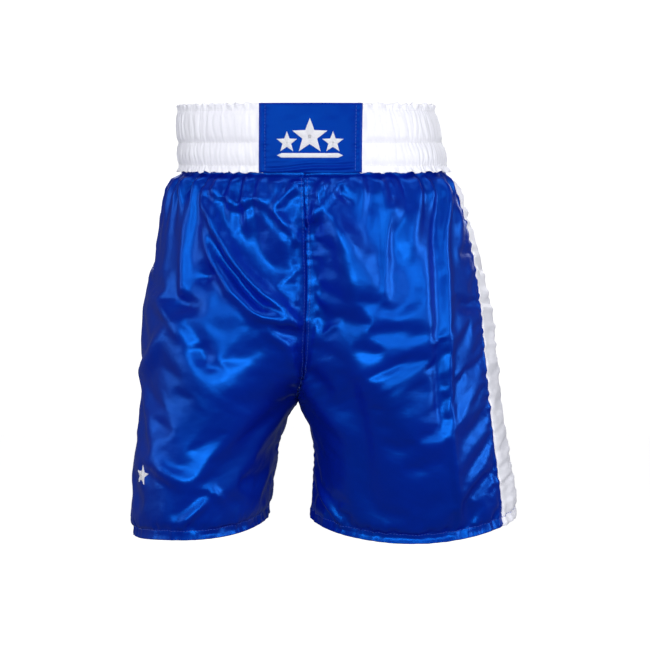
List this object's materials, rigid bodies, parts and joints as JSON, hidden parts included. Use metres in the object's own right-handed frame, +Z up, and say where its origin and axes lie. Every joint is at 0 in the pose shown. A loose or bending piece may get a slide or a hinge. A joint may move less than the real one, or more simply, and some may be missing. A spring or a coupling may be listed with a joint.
{
  "type": "boxing shorts",
  "caption": "Knee-length satin boxing shorts in their worn shape, with a wide gathered elastic waistband, a plain front badge and contrast side stripes.",
  "frame": {"origin": "centre of the waist opening, level with the waistband's top edge", "axes": "+Z up the standing wearer, +Y towards the wearer's back, +X towards the wearer's left"},
  "size_m": [0.4551, 0.2647, 0.501],
  "materials": {
    "blue_satin": "satin",
    "white_satin": "satin",
    "elastic_webbing": "matte",
    "stiffener": "matte",
    "white_thread": "satin",
    "blue_thread": "satin",
    "embroidery": "satin",
    "label_tape": "matte"
  },
  "bodies": {
    "shorts": {"front_panel_right": "blue_satin", "front_panel_left": "blue_satin", "back_panel_right": "blue_satin", "back_panel_left": "blue_satin", "side_stripe_right": "white_satin", "side_stripe_left": "white_satin", "waistband_casing": "white_satin", "elastic_upper": "elastic_webbing", "elastic_lower": "elastic_webbing", "badge_satin": "blue_satin", "badge_stiffener": "stiffener", "badge_facing": "blue_satin", "waistband_stitch_top": "white_thread", "waistband_stitch_middle": "white_thread", "waistband_stitch_bottom": "white_thread", "badge_stitch_right": "blue_thread", "badge_stitch_left": "blue_thread", "centre_front_stitch_right": "blue_thread", "centre_front_stitch_left": "blue_thread", "centre_back_stitch_right": "blue_thread", "centre_back_stitch_left": "blue_thread", "hem_stitch_right": "blue_thread", "hem_stitch_left": "blue_thread", "emblem_star_centre": "embroidery", "emblem_star_right": "embroidery", "emblem_star_left": "embroidery", "emblem_bar": "embroidery", "leg_star": "embroidery"},
    "care_label": {"care_label": "label_tape"}
  },
  "joints": [
    {"name": "care_label_flap", "type": "hinge", "parent": "shorts", "child": "care_label", "pos_m": [0.009, 0.103, -0.0773], "axis": [-1, 0, 0], "range_deg": [0, 150]}
  ]
}
